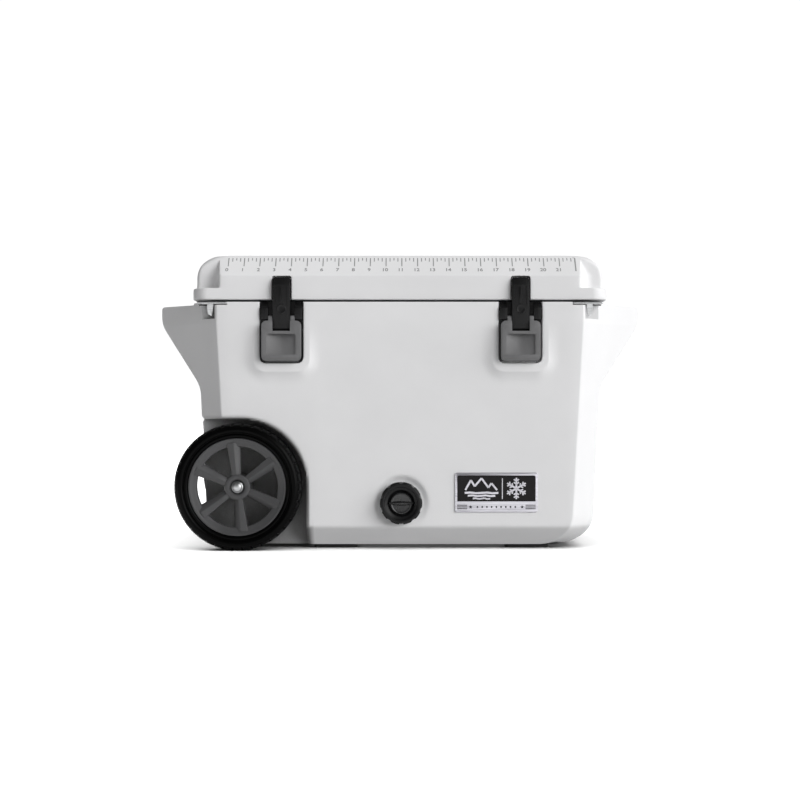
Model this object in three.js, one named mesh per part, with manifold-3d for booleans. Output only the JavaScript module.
// Hard-sided cool box on two wheels: rotomoulded tub and lid, two draw latches, a turn-out drain,
// a pair of rear hinges and 8-inch wheels on a fixed axle. Millimetres, +Z up, front towards -Y,
// origin on the floor below the middle of the box. Wheels are at the -X end.
import * as THREE from "three";
import { mergeVertices } from "three/addons/utils/BufferGeometryUtils.js";
import Module from "manifold-3d";

const wasm = await Module();
wasm.setup();

// ---- driving dimensions ----
const gap = 0.3;                      // clearance between pieces that touch
const skin = 6;                       // moulded wall
const body = {
  top: 396.6, bottom: 6, frontY: 205, bandZ: 366, sillY: 188, sillZ: 36, floorY: 158,
  cornerTop: 499, cornerDraft: 0.1007, endLowX: 312, endHighX: 324, endKneeZ: 250,
};
const flare = {
  tipX: 396, topZ: 394.5, rootX: 336, tipLowZ: 367, slopeX: 387, slopeZ: 352, kneeX: 331, kneeZ: 272,
};
const grip = { nearX: 345, farX: 382, halfY: 60, lowZ: 270, topZ: 380 };
const tub = { endX: 268, halfTopY: 162, halfLowY: 151, floorZ: 50, stepX: -122, stepZ: 226 };
const wheel = { hubX: -259.5, radius: 101.6, outerY: 221, width: 58, rimRadius: 78, hubRadius: 20.6 };
const well = { radius: 108, innerY: 147 };
const axleRadius = 6.35;
const spokeStart = 25;                // degrees to the first spoke
const sleeveRadius = 11;
const lid = {
  bottom: 400.1, rimTop: 416, rimX: 334, cornerRadius: 25, domeX: 328, skirtX: 291, frontY: 205,
  bevelZ: 439.5, bevelInZ: 470, bevelY: 174, top: 474, scoopY: 180, domeRadius: 42,
};
const gasketOutline = { halfX: 300, halfY: 190, width: 12, radius: 50, low: 396.9, high: 403 };
const latch = {
  centres: [-189.6, 192.8], padWidth: 90, padLow: 286, padRadius: 20, recessWidth: 69.5, recessLow: 299.5,
  recessY: 196,
  strapHalf: 13.7, strapTop: 437, strapFront: -213, frameHalf: 31.5, frameLow: 302.7, shoulderZ: 367.5,
  notchY: -193.4, pivotY: -206, pivotZ: 372.2, strapPinY: -205, strapPinZ: 356.2, frontY: -216.5, backY: -201,
};
const hinge = {
  centres: [-190, 190], axisY: 213, axisZ: 398.3, barrel: 6, pin: 2.4, halfX: 30, leafY: 205.3, leafThick: 4,
};
const lock = {
  x: 301, halfX: 24, frontY: 206, backY: 169, low: 393.4, high: 396.3, holeX: 316, holeY: 193, holeR: 6,
};
const lidScrew = { y: -192, z: 428, socketR: 7, headR: 4, shankR: 2 };
const drain = { x: 1.8, z: 75, dishY: -183.6, flangeR: 33.8, capR: 34, boreR: 9.5, notches: 10 };
const badge = { x: 155, z: 92, width: 133, height: 64, thick: 1.5 };
const foot = { leftX: -105, rightX: 207, length: 70, width: 40, y: 134, height: 12 };
const fillPort = { x: 60, radius: 12 };
const faceTilt = Math.atan((body.frontY - body.sillY) / (body.bandZ - body.sillZ));

// ---- finishes ----
const finish = {
  polyethylene: { color: "#dcdcdc", roughness: 0.55, metalness: 0 },
  foam: { color: "#e8e0c0", roughness: 0.9, metalness: 0 },
  blackPlastic: { color: "#151515", roughness: 0.45, metalness: 0 },
  greyPlastic: { color: "#6a6a6a", roughness: 0.5, metalness: 0 },
  rubber: { color: "#0b0b0b", roughness: 0.7, metalness: 0 },
  rimPlastic: { color: "#4a4a4a", roughness: 0.45, metalness: 0 },
  steel: { color: "#a5a5a5", roughness: 0.35, metalness: 1 },
  badgeMetal: { color: "#c9c9c9", roughness: 0.3, metalness: 1 },
};

const model = new THREE.Group();

// ---- solids ----
function solid(geometry) {
  let plain = geometry.index ? geometry.toNonIndexed() : geometry.clone();
  plain.deleteAttribute("normal");
  plain.deleteAttribute("uv");
  plain = mergeVertices(plain, 1e-4);
  const position = plain.attributes.position;
  const corners = [];
  let volume = 0;
  const p = [new THREE.Vector3(), new THREE.Vector3(), new THREE.Vector3()];
  for (let i = 0; i < plain.index.count; i += 3) {
    const t = [plain.index.getX(i), plain.index.getX(i + 1), plain.index.getX(i + 2)];
    if (t[0] === t[1] || t[1] === t[2] || t[0] === t[2]) continue;
    corners.push(t);
    t.forEach((v, k) => p[k].fromBufferAttribute(position, v));
    volume += p[0].dot(p[1].clone().cross(p[2]));
  }
  const turned = volume < 0 ? corners.map(([a, b, c]) => [a, c, b]) : corners;
  const vertProperties = new Float32Array(position.array);
  const triVerts = new Uint32Array(turned.flat());
  return new wasm.Manifold(new wasm.Mesh({ numProp: 3, vertProperties, triVerts }));
}

function add(name, shape, look, place = [0, 0, 0], turn = [0, 0, 0]) {
  const mesh = shape.getMesh();
  const geometry = new THREE.BufferGeometry();
  geometry.setAttribute("position", new THREE.BufferAttribute(new Float32Array(mesh.vertProperties), 3));
  geometry.setIndex(new THREE.BufferAttribute(new Uint32Array(mesh.triVerts), 1));
  geometry.computeVertexNormals();
  const part = new THREE.Mesh(geometry, new THREE.MeshStandardMaterial(look));
  part.name = name;
  part.position.set(...place);
  part.rotation.set(...turn);
  model.add(part);
}

// A closed outline whose corners are [x, y, radius]; a radius rounds its corner.
function outline(corners) {
  const shape = new THREE.Shape();
  corners.forEach(([x, y, radius = 0], i) => {
    const before = corners[(i + corners.length - 1) % corners.length];
    const after = corners[(i + 1) % corners.length];
    const here = new THREE.Vector2(x, y);
    const inward = new THREE.Vector2(before[0] - x, before[1] - y).normalize();
    const outward = new THREE.Vector2(after[0] - x, after[1] - y).normalize();
    const half = Math.acos(THREE.MathUtils.clamp(inward.dot(outward), -1, 1)) / 2;
    const reach = radius / Math.tan(half);
    const start = here.clone().addScaledVector(inward, reach);
    if (i === 0) shape.moveTo(start.x, start.y);
    else shape.lineTo(start.x, start.y);
    if (radius > 0) {
      const end = here.clone().addScaledVector(outward, reach);
      shape.quadraticCurveTo(x, y, end.x, end.y);
    }
  });
  shape.closePath();
  return shape;
}

function roundedRect(cx, cy, width, height, radius) {
  const [x, y] = [width / 2, height / 2];
  return outline([
    [cx - x, cy - y, radius], [cx + x, cy - y, radius], [cx + x, cy + y, radius], [cx - x, cy + y, radius],
  ]);
}

function circleShape(cx, cy, radius, hole = 0) {
  const shape = new THREE.Shape();
  shape.absarc(cx, cy, radius, 0, Math.PI * 2);
  if (hole > 0) {
    const inner = new THREE.Path();
    inner.absarc(cx, cy, hole, 0, Math.PI * 2, true);
    shape.holes.push(inner);
  }
  return shape;
}

// Plan outline raised along Z.
function alongZ(shape, low, high, steps = 6) {
  const settings = { depth: high - low, bevelEnabled: false, curveSegments: steps };
  const geometry = new THREE.ExtrudeGeometry(shape, settings);
  return solid(geometry.translate(0, 0, low));
}

// Outline in X and Z, carried along Y.
function alongY(shape, low, high, steps = 6) {
  const settings = { depth: high - low, bevelEnabled: false, curveSegments: steps };
  const geometry = new THREE.ExtrudeGeometry(shape, settings);
  return solid(geometry.rotateX(Math.PI / 2).translate(0, high, 0));
}

// Outline in Y and Z, carried along X.
function alongX(shape, low, high, steps = 6) {
  const settings = { depth: high - low, bevelEnabled: false, curveSegments: steps };
  const geometry = new THREE.ExtrudeGeometry(shape, settings);
  const basis = new THREE.Matrix4().makeBasis(
    new THREE.Vector3(0, 1, 0), new THREE.Vector3(0, 0, 1), new THREE.Vector3(1, 0, 0));
  return solid(geometry.applyMatrix4(basis).translate(low, 0, 0));
}

// Profile of [radius, y] pairs turned about the line through x and z that runs along Y.
function turned(profile, x = 0, z = 0, segments = 24) {
  const points = profile.map(([radius, y]) => new THREE.Vector2(radius, y));
  if (profile[0][0] > 0) points.push(points[0].clone());
  return solid(new THREE.LatheGeometry(points, segments).translate(x, 0, z));
}

function ring(inner, outer, low, high, x, z, segments = 24) {
  return turned([[inner, low], [outer, low], [outer, high], [inner, high]], x, z, segments);
}

function disc(radius, low, high, x, z, segments = 24) {
  return turned([[0, low], [radius, low], [radius, high], [0, high]], x, z, segments);
}

// ---- tub ----
// Four planes at 45 degrees that cut the corners: a diamond in plan, narrower towards the floor.
function cornerPlanes(inset) {
  const knee = body.bandZ - 4;
  const top = body.cornerTop - inset;
  const low = top - body.cornerDraft * (knee + 40);
  const profile = [[0, -40], [low, -40], [top, knee], [top, 440], [0, 440]];
  return turned(profile.map(([radius, z]) => [radius, -z]), 0, 0, 4).rotate([-90, 0, 0]);
}

function sideProfile(inset) {
  const floor = body.bottom + inset;
  return outline([
    [-body.floorY + inset * 0.4, floor], [body.floorY - inset * 0.4, floor],
    [body.sillY - inset, body.sillZ + inset * 0.4], [body.frontY - inset, body.bandZ],
    [body.frontY - inset, body.top - inset], [-body.frontY + inset, body.top - inset],
    [-body.frontY + inset, body.bandZ], [-body.sillY + inset, body.sillZ + inset * 0.4],
  ]);
}

function bodyOutline() {
  const half = [
    [body.endLowX, body.bottom, 50], [body.endHighX, body.endKneeZ, 20],
    [flare.kneeX, flare.kneeZ, 8], [flare.slopeX, flare.slopeZ, 20],
    [flare.tipX, flare.tipLowZ, 6], [flare.tipX, flare.topZ, 5],
    [flare.rootX, flare.topZ], [flare.rootX - 2, body.top],
  ];
  const mirrored = half.map(([x, z, r]) => [-x, z, r]).reverse();
  return outline([...half, ...mirrored]);
}

function wheelWell(grow) {
  const shape = new THREE.Shape();
  const radius = well.radius + grow;
  shape.moveTo(-450, wheel.radius + radius);
  shape.lineTo(wheel.hubX, wheel.radius + radius);
  shape.absarc(wheel.hubX, wheel.radius, radius, Math.PI / 2, 0, true);
  shape.lineTo(wheel.hubX + radius, -20);
  shape.lineTo(-450, -20);
  const near = well.innerY - grow;
  return alongY(shape, -260, -near, 12).add(alongY(shape, near, 260, 12));
}

function tubHollow(grow, top) {
  const end = tub.endX + grow;
  const floor = tub.floorZ - grow;
  const long = outline([
    [tub.stepX - grow, floor, 20], [end - 8, floor, 20], [end, top], [-end, top],
    [-end + 4, tub.stepZ - grow, 16], [tub.stepX - grow - 4, tub.stepZ - grow, 10],
  ]);
  const across = outline([
    [-tub.halfLowY - grow, floor, 6], [tub.halfLowY + grow, floor, 6],
    [tub.halfTopY + grow, top], [-tub.halfTopY - grow, top],
  ]);
  const plan = roundedRect(0, 0, 2 * end, 2 * (tub.halfTopY + grow), 34);
  return alongY(long, -250, 250, 4)
    .intersect(alongX(across, -300, 300, 4))
    .intersect(alongZ(plan, floor - 1, top + 1, 5));
}

function latchPad(centre) {
  const high = body.top;
  const middle = (latch.padLow + high + 40) / 2;
  const pad = roundedRect(centre, middle, latch.padWidth, high + 40 - latch.padLow, latch.padRadius);
  return alongY(pad, -body.frontY, -180, 5).trimByPlane([0, 0, -1], -high);
}

function latchRecess(centre) {
  const high = body.top + 30;
  const middle = (latch.recessLow + high) / 2;
  const recess = roundedRect(centre, middle, latch.recessWidth, high - latch.recessLow, 12);
  return alongY(recess, -230, -latch.recessY, 5);
}

function footPlace(x, y, grow, low, high) {
  return alongZ(roundedRect(x, y, foot.length + 2 * grow, foot.width + 2 * grow, 8), low, high, 4);
}

const footPlaces = {
  foot_front_left: [foot.leftX, -foot.y], foot_front_right: [foot.rightX, -foot.y],
  foot_rear_left: [foot.leftX, foot.y], foot_rear_right: [foot.rightX, foot.y],
};

function lockPlateOutline(side, grow) {
  const [x, front, back] = [lock.x * side, -lock.frontY - grow, -lock.backY + grow];
  const half = lock.halfX + grow;
  return outline([[x - half, front, 2], [x + half, front, 2], [x + half, back, 2], [x - half, back, 2]]);
}

function lockRecess(side) {
  const plate = alongZ(lockPlateOutline(side, gap), lock.low - gap, body.top + 10);
  const pocket = outline([
    [side * 297, -230], [side * 340, -230], [side * 340, -178], [side * 297, -178],
  ]);
  return plate.add(alongZ(pocket, 371, body.top + 10));
}

function makeBody() {
  const outer = alongY(bodyOutline(), -260, 260, 5)
    .intersect(alongX(sideProfile(0), -420, 420))
    .intersect(cornerPlanes(0))
    .subtract(wheelWell(0));
  const cavityLong = (inset) => outline([
    [-299 + inset, body.bottom + skin + inset], [299 - inset, body.bottom + skin + inset],
    [316 - inset, body.top - skin - inset], [-316 + inset, body.top - skin - inset],
  ]);
  const cavity = (inset) => alongY(cavityLong(inset), -260, 260)
    .intersect(alongX(sideProfile(skin + inset), -310 + inset, 310 - inset))
    .intersect(cornerPlanes((skin + inset) * Math.SQRT2))
    .subtract(wheelWell(skin + inset))
    .subtract(tubHollow(skin + inset, body.top + 20));
  let shell = outer;
  latch.centres.forEach((centre) => { shell = shell.add(latchPad(centre)); });
  const sleeve = (grow) => disc(sleeveRadius + grow, -150, 150, wheel.hubX, wheel.radius, 16);
  const drainBore = (grow) => disc(15.6 + grow, -200, -120, drain.x, drain.z, 24);
  const port = (grow) => disc(fillPort.radius + grow, -20, 20, 0, 0, 24)
    .rotate([90, 0, 0]).translate([fillPort.x, 0, 0]);
  shell = shell.subtract(cavity(0)).subtract(tubHollow(0, body.top + 20)).subtract(sleeve(gap));
  latch.centres.forEach((centre) => { shell = shell.subtract(latchRecess(centre)); });
  Object.values(footPlaces).forEach(([x, y]) => {
    shell = shell.subtract(footPlace(x, y, gap, -5, foot.height + gap));
  });
  [-1, 1].forEach((side) => {
    const middle = side * (grip.nearX + grip.farX) / 2;
    const pocket = roundedRect(middle, 0, grip.farX - grip.nearX, 2 * grip.halfY, 10);
    shell = shell.subtract(alongZ(pocket, grip.lowZ, grip.topZ, 4)).subtract(lockRecess(side));
  });
  shell = shell.subtract(drainBore(gap)).subtract(disc(40, -230, drain.dishY + gap, drain.x, drain.z, 36));
  shell = shell.subtract(port(0));
  add("body_shell", shell, finish.polyethylene);
  let core = cavity(0.5).subtract(sleeve(1)).subtract(drainBore(1)).subtract(port(1));
  Object.values(footPlaces).forEach(([x, y]) => {
    core = core.subtract(footPlace(x, y, 3, -5, foot.height + 4));
  });
  latch.centres.forEach((centre) => {
    core = core.subtract(alongY(roundedRect(centre, 348, 86, 120, 6), -260, -latch.recessY + 7));
  });
  [-1, 1].forEach((side) => {
    core = core.subtract(alongZ(roundedRect(side * 318, -204, 90, 70, 4), 364, 420));
  });
  core = core.subtract(disc(46, -230, drain.dishY + 7, drain.x, drain.z, 36));
  add("body_foam", core, finish.foam);
  const plug = turned([[0, 6.4], [11.6, 6.4], [11.6, 11.7], [0, 11.7]], 0, 0, 24).rotate([90, 0, 0]);
  add("body_fill_plug", plug.translate([fillPort.x, 0, 0]), finish.polyethylene);
}

// ---- lid ----
function lidSide(inset) {
  return outline([
    [-lid.scoopY + 0.01, lid.bottom - 1], [lid.scoopY - 0.01, lid.bottom - 1],
    [lid.frontY - inset, lid.bottom - 1], [lid.frontY - inset, lid.bevelZ, 4],
    [lid.bevelY, lid.bevelInZ, 6], [lid.bevelY - 30, lid.top - inset], [-lid.bevelY + 30, lid.top - inset],
    [-lid.bevelY, lid.bevelInZ, 6], [-lid.frontY + inset, lid.bevelZ, 4],
    [-lid.frontY + inset, lid.bottom - 1],
  ]);
}

function lidDome() {
  const end = outline([
    [-lid.domeX, lid.rimTop - 4], [lid.domeX, lid.rimTop - 4],
    [lid.domeX - 4, lid.top, lid.domeRadius], [-lid.domeX + 4, lid.top, lid.domeRadius],
  ]);
  const plan = roundedRect(0, 0, 2 * lid.domeX, 2 * lid.frontY, 18);
  return alongY(end, -260, 260, 7)
    .intersect(alongX(lidSide(0), -420, 420, 4))
    .intersect(alongZ(plan, 380, 500, 4));
}

function scoop(sideX, sideY) {
  const shape = outline([
    [sideX * lid.skirtX, sideY * 240], [sideX * lid.skirtX, sideY * lid.scoopY, 7],
    [sideX * 380, sideY * lid.scoopY], [sideX * 380, sideY * 240],
  ]);
  return alongZ(shape, lid.rimTop, 500, 4);
}

function makeLid() {
  const rimPlan = roundedRect(0, 0, 2 * lid.rimX, 2 * lid.frontY, lid.cornerRadius);
  let shell = alongZ(rimPlan, lid.bottom, lid.rimTop, 5).add(lidDome());
  shell = shell.trimByPlane([0, 0, 1], lid.bottom);
  [-1, 1].forEach((x) => [-1, 1].forEach((y) => { shell = shell.subtract(scoop(x, y)); }));
  latch.centres.forEach((centre) => {
    const [half, roof] = [latch.strapHalf + 0.5, latch.strapTop + 1];
    const notch = outline([
      [centre - half, 380], [centre + half, 380], [centre + half, roof, 4], [centre - half, roof, 4],
    ]);
    shell = shell.subtract(alongY(notch, -230, latch.notchY, 4));
  });
  const cavity = (inset) => alongY(outline([
    [-282 + inset, lid.bottom + 7 + inset], [282 - inset, lid.bottom + 7 + inset],
    [278 - inset, lid.top - skin - inset], [-278 + inset, lid.top - skin - inset],
  ]), -260, 260).intersect(alongX(outline([
    [-184 + inset, 380], [184 - inset, 380], [184 - inset, lid.bevelZ - 2],
    [162 - inset, lid.top - skin - inset], [-162 + inset, lid.top - skin - inset],
    [-184 + inset, lid.bevelZ - 2],
  ]), -420, 420));
  const { halfX, halfY, width, radius, low, high } = gasketOutline;
  const loopPlan = (grow) => roundedRect(0, 0, 2 * (halfX + grow), 2 * (halfY + grow), radius + grow);
  const loop = (grow, from, to) => alongZ(loopPlan(grow), from, to, 6)
    .subtract(alongZ(loopPlan(-width - grow), from - 1, to + 1, 6));
  const port = (grow) => disc(fillPort.radius + grow, -60, 60, 0, 0, 24)
    .rotate([90, 0, 0]).translate([0, 0, 362]);
  shell = shell.subtract(cavity(0)).subtract(loop(gap, low - 4, high + gap)).subtract(port(0));
  [-1, 1].forEach((side) => {
    const hole = alongZ(circleShape(side * lock.holeX, -lock.holeY, lock.holeR), 380, 430, 8);
    const places = [side * (lid.skirtX - 8), side * (lid.skirtX + 9)].sort((a, b) => a - b);
    const socket = alongX(circleShape(lidScrew.y, lidScrew.z, lidScrew.socketR), places[0], places[1], 8);
    shell = shell.subtract(hole).subtract(socket);
  });
  add("lid_shell", shell, finish.polyethylene);
  add("lid_foam", cavity(0.5).subtract(port(1).trimByPlane([0, 0, -1], -416)), finish.foam);
  add("lid_gasket", loop(0, low, high), finish.rubber);
  const plug = turned([[0, 400.5], [11.6, 400.5], [11.6, 407], [0, 407]], 0, 0, 24);
  add("lid_fill_plug", plug.rotate([90, 0, 0]), finish.polyethylene);
  [["left", -1], ["right", 1]].forEach(([name, side]) => {
    const low = lid.skirtX - 7.6;
    const screw = alongX(circleShape(lidScrew.y, lidScrew.z, lidScrew.headR), low, low + 4, 6)
      .add(alongX(circleShape(lidScrew.y, lidScrew.z, lidScrew.shankR), low + 3, low + 5.5, 6));
    add(`lid_screw_${name}`, side < 0 ? screw.mirror([1, 0, 0]) : screw, finish.steel);
  });
}

// ---- latches ----
function makeLatch(side, centre) {
  const { pivotY, pivotZ, strapPinY, strapPinZ, recessY } = latch;
  const { frameHalf, frameLow, shoulderZ, frontY, backY } = latch;
  const plateFront = -recessY - 3.6;
  const platePlan = roundedRect(centre, (frameLow + 395) / 2, 67, 395 - frameLow, 9);
  const plate = alongY(platePlan, plateFront, -recessY - gap, 4);
  let base = plate;
  [-1, 1].forEach((hand) => {
    const lug = alongX(outline([
      [plateFront + 0.1, 368.9], [pivotY - 3, 368.9, 2], [pivotY - 3, 388, 3], [plateFront + 0.1, 395],
    ]), hand < 0 ? centre - 33.4 : centre + 21.3, hand < 0 ? centre - 21.3 : centre + 33.4, 3);
    base = base.add(lug);
  });
  base = base.subtract(alongX(circleShape(pivotY, pivotZ, 1.9), centre - 30.2, centre + 30.2, 5));
  add(`latch_base_${side}`, base, finish.blackPlastic);
  [["left", -29.8], ["right", 14.7]].forEach(([end, from]) => {
    const pin = alongX(circleShape(pivotY, pivotZ, 1.6), centre + from, centre + from + 15.1, 5);
    add(`latch_pivot_${side}_${end}`, pin, finish.steel);
  });

  const face = roundedRect(centre, (frameLow + shoulderZ) / 2, 2 * frameHalf, shoulderZ - frameLow, 9);
  let lever = alongY(face, frontY, backY, 5).intersect(alongX(outline([
    [backY, frameLow + 6], [backY - 3, frameLow], [frontY + 3, frameLow, 2], [frontY, frameLow + 8],
    [frontY, shoulderZ - 6], [pivotY - 5.5, shoulderZ], [backY, shoulderZ],
  ]), centre - 60, centre + 60, 4));
  [-1, 1].forEach((hand) => {
    const from = hand < 0 ? centre - 20.9 : centre + 14.4;
    const neck = outline([
      [pivotY - 3.5, pivotZ], [pivotY + 3.5, pivotZ], [pivotY + 3.5, 362], [pivotY - 3.5, 362],
    ]);
    const ear = alongX(circleShape(pivotY, pivotZ, 3.5), from, from + 6.5, 6)
      .add(alongX(neck, from, from + 6.5));
    lever = lever.add(ear);
  });
  const slotHalf = latch.strapHalf + 0.4;
  const slot = alongY(outline([
    [centre - slotHalf, 350.8], [centre + slotHalf, 350.8],
    [centre + slotHalf, 400], [centre - slotHalf, 400],
  ]), -230, -190);
  const pocket = alongY(roundedRect(centre, 329.5, 46, 33, 4), -230, frontY + 9, 4);
  lever = lever.subtract(slot).subtract(pocket)
    .subtract(alongX(circleShape(pivotY, pivotZ, 1.9), centre - 40, centre + 40, 5))
    .subtract(alongX(circleShape(strapPinY, strapPinZ, 1.9), centre - 18.2, centre + 18.2, 5));
  add(`latch_lever_${side}`, lever, finish.greyPlastic);
  const strapPin = alongX(circleShape(strapPinY, strapPinZ, 1.6), centre - 17.9, centre + 17.9, 5);
  add(`latch_strap_pin_${side}`, strapPin, finish.steel);

  const front = latch.strapFront;
  const [strapLeft, strapRight] = [centre - latch.strapHalf, centre + latch.strapHalf];
  const eye = alongX(circleShape(strapPinY, strapPinZ, 5), strapLeft, strapRight, 8);
  let strap = eye.add(alongX(outline([
    [strapPinY - 5, strapPinZ], [strapPinY + 5, strapPinZ], [-203, 370, 3], [-203.8, 388], [-203.8, 404],
    [-197, 409], [-194, 424], [-194, latch.strapTop, 3.5], [-208, latch.strapTop, 3], [front, 425, 4],
    [front, 384], [-211, 372],
  ]), strapLeft, strapRight, 4));
  const strapFace = outline([
    [strapLeft, 340], [strapRight, 340],
    [strapRight, latch.strapTop, 4.5], [strapLeft, latch.strapTop, 4.5],
  ]);
  strap = strap.intersect(alongY(strapFace, -230, -180, 4));
  strap = strap.subtract(alongX(circleShape(strapPinY, strapPinZ, 1.9), centre - 40, centre + 40, 5));
  const ridge = outline([
    [centre - 2.4, 396], [centre + 2.4, 396], [centre + 1.2, 421], [centre - 1.2, 421],
  ]);
  strap = strap.add(alongY(ridge, front - 1.6, front + 2));
  add(`latch_strap_${side}`, strap, finish.blackPlastic);
}

// ---- lock plates ----
function makeLockPlate(name, side) {
  let plate = alongZ(lockPlateOutline(side, 0), lock.low, lock.high);
  const web = outline([[299.5, lock.low + 0.5], [311.5, lock.low + 0.5], [309, 378, 2], [302.5, 374, 1]]);
  const gusset = alongY(web, -lock.backY - 24, -lock.backY - 21.5, 3);
  plate = plate.add(side < 0 ? gusset.mirror([1, 0, 0]) : gusset)
    .subtract(alongZ(circleShape(side * lock.holeX, -lock.holeY, lock.holeR), 380, 430, 8))
    .subtract(alongZ(circleShape(side * 287, -186, 2.5), 380, 430, 5));
  add(`lock_plate_${name}`, plate, finish.steel);
}

// ---- rear hinges ----
function makeHinge(name, centre) {
  const { axisY, axisZ, barrel, pin, halfX, leafY, leafThick } = hinge;
  const leafPlan = (low, high) => roundedRect(centre, (low + high) / 2, 2 * halfX, high - low, 4);
  const leaf = (low, high) => alongY(leafPlan(low, high), leafY, leafY + leafThick, 3);
  const knuckle = (from, to, reachZ) => alongX(circleShape(axisY, axisZ, barrel), from, to, 8)
    .add(alongX(outline([
      [leafY, axisZ], [axisY - 2, axisZ], [leafY + leafThick, reachZ], [leafY, reachZ],
    ]), from, to))
    .subtract(alongX(circleShape(axisY, axisZ, pin + 0.35), from - 1, to + 1, 6));
  const third = halfX / 3;
  let lower = leaf(346, 392);
  lower = lower.add(knuckle(centre - halfX, centre - third - gap, 382))
    .add(knuckle(centre + third + gap, centre + halfX, 382));
  add(`hinge_body_leaf_${name}`, lower, finish.blackPlastic);
  const upper = leaf(405, 436).add(knuckle(centre - third, centre + third, 412));
  add(`hinge_lid_leaf_${name}`, upper, finish.blackPlastic);
  const rod = alongX(circleShape(axisY, axisZ, pin), centre - halfX, centre + halfX, 6);
  add(`hinge_pin_${name}`, rod, finish.steel);
}

// ---- wheels and axle ----
// Wheel pieces are made about the origin with y = 0 at the inner face, then turned to their side.
function placeWheelPiece(shape, side) {
  const inner = wheel.outerY - wheel.width;
  const out = side < 0 ? shape.rotate([0, 0, 180]) : shape;
  return out.translate([wheel.hubX, side * inner, wheel.radius]);
}

function makeWheel(name, side) {
  const { radius, width, rimRadius, hubRadius } = wheel;
  const tyre = turned([
    [rimRadius + gap, 4], [84, 1], [92, 0], [98, 4], [radius, 12], [radius, width - 12],
    [98, width - 4], [92, width], [84, width - 1], [rimRadius + gap, width - 4],
  ], 0, 0, 48);
  add(`tyre_${name}`, placeWheelPiece(tyre, side), finish.rubber);

  let rim = ring(73, rimRadius, 5, width - 3, 0, 0, 40)
    .add(ring(64, rimRadius, width - 11, width - 3, 0, 0, 40));
  rim = rim.add(ring(10.2, hubRadius, 3, width - 6, 0, 0, 24));
  const section = outline([
    [-8.5, width - 18], [8.5, width - 18], [8.5, width - 12], [1.5, width - 7], [-8.5, width - 11],
  ]);
  for (let i = 0; i < 6; i += 1) {
    const spoke = alongX(section, 16, 70).rotate([-90, 0, 0]);
    rim = rim.add(spoke.rotate([0, -(spokeStart + 60 * i), 0]));
  }
  rim = rim.subtract(disc(12, width - 14, width, 0, 0, 24)).subtract(disc(10.2, -5, width, 0, 0, 24));
  add(`wheel_rim_${name}`, placeWheelPiece(rim, side), finish.rimPlastic);
  [["inner", 3.4], ["outer", width - 34.4]].forEach(([end, low]) => {
    const bush = ring(axleRadius + gap, 9.9, low, low + 20, 0, 0, 16);
    add(`wheel_bush_${name}_${end}`, placeWheelPiece(bush, side), finish.blackPlastic);
  });
  const [sleeveEnd, hubFace] = [well.innerY + 0.4, wheel.outerY - width + 2.6];
  const spacer = ring(axleRadius + gap, 13, sleeveEnd, hubFace, wheel.hubX, wheel.radius, 16);
  add(`axle_spacer_${name}`, side < 0 ? spacer.mirror([0, 1, 0]) : spacer, finish.steel);
  const cap = turned([
    [0, 211], [axleRadius + gap, 211], [axleRadius + gap, 208], [8.6, 208],
    [8.6, 212], [7, 215], [4, 216.6], [0, 217],
  ], wheel.hubX, wheel.radius, 16);
  add(`axle_cap_${name}`, side < 0 ? cap.mirror([0, 1, 0]) : cap, finish.steel);
}

function makeAxle() {
  add("axle", disc(axleRadius, -210.5, 210.5, wheel.hubX, wheel.radius, 16), finish.steel);
  const sleeve = ring(axleRadius + gap, sleeveRadius, -146.6, 146.6, wheel.hubX, wheel.radius, 16);
  add("axle_sleeve", sleeve, finish.steel);
}

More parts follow.
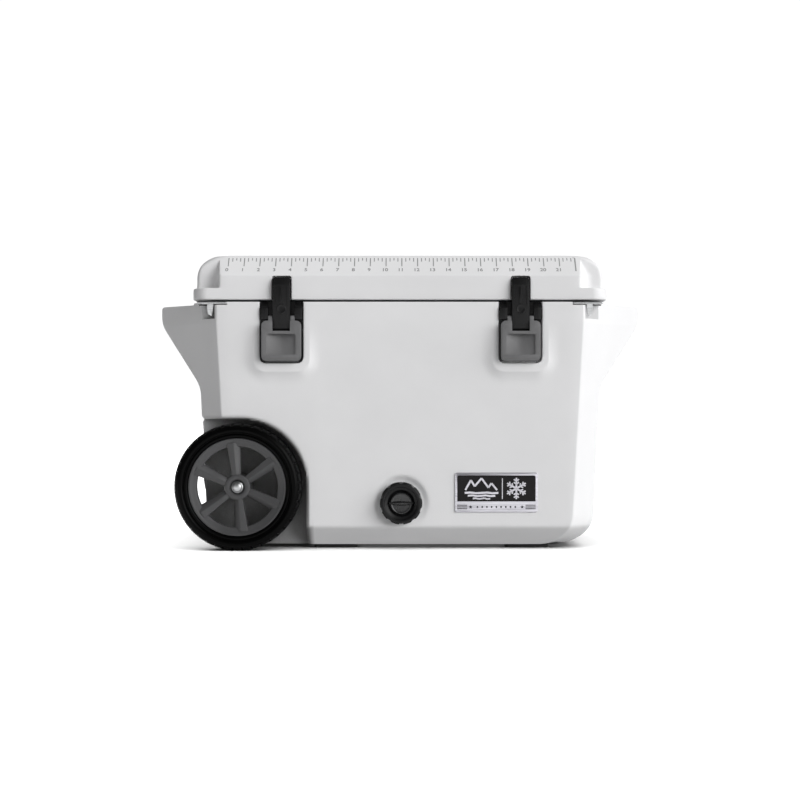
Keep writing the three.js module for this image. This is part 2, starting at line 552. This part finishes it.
// ---- drain ----
function makeDrain() {
  const { x, z, dishY, flangeR, capR, boreR, notches } = drain;
  const fitting = ring(boreR, 15.6, -188, -141, x, z).add(ring(boreR, flangeR, -188.4, dishY, x, z, 24))
    .add(ring(boreR, 21, -197, -188, x, z));
  add("drain_fitting", fitting, finish.greyPlastic);
  const hexagon = disc(19.5, -150.4, -142, x, z, 6);
  add("drain_nut", hexagon.subtract(disc(15.9, -160, -130, x, z)), finish.blackPlastic);
  add("drain_cap_seal", ring(24, 31, -190.6, -188.7, x, z), finish.rubber);
  let cap = ring(21.4, capR, -203, -190.9, x, z, 30).add(ring(boreR, 22.5, -201, -197.4, x, z, 30))
    .add(ring(26.6, 31, -206, -202, x, z, 30));
  for (let i = 0; i < notches; i += 1) {
    const angle = Math.PI / 2 + (i * 2 * Math.PI) / notches;
    cap = cap.subtract(disc(5, -210, -180, x + 36.5 * Math.cos(angle), z + 36.5 * Math.sin(angle), 8));
  }
  add("drain_cap", cap, finish.blackPlastic);
  const blade = alongY(outline([
    [x - 19.7, z - 1], [x, z - 3.6], [x + 19.7, z - 1], [x + 19.7, z + 1], [x, z + 3.6], [x - 19.7, z + 1],
  ]), -207, -202);
  const stem = turned([
    [0, -186], [9, -186], [9, -192.6], [7.8, -192.6], [7.8, -195],
    [9, -195], [9, -201.3], [17, -201.3], [17, -203], [0, -203],
  ], x, z, 24);
  add("drain_plug", stem.add(blade), finish.greyPlastic);
  add("drain_plug_oring", ring(8.1, 9.3, -194.8, -192.9, x, z, 24), finish.rubber);
}

// ---- badge and feet ----
function makeBadge() {
  const plate = alongY(roundedRect(0, 0, badge.width, badge.height, 4), -badge.thick, 0, 4);
  const wallY = body.sillY + (badge.z - body.sillZ) * Math.tan(faceTilt);
  add("badge_plate", plate, finish.badgeMetal, [badge.x, -wallY - gap, badge.z], [faceTilt, 0, 0]);
}

function makeFeet() {
  Object.entries(footPlaces).forEach(([name, [x, y]]) => {
    add(name, footPlace(x, y, 0, 0, foot.height), finish.rubber);
  });
}

makeBody();
makeLid();
latch.centres.forEach((centre, i) => makeLatch(i === 0 ? "left" : "right", centre));
makeLockPlate("left", -1);
makeLockPlate("right", 1);
hinge.centres.forEach((centre, i) => makeHinge(i === 0 ? "left" : "right", centre));
makeWheel("front", -1);
makeWheel("rear", 1);
makeAxle();
makeDrain();
makeBadge();
makeFeet();

export default model;
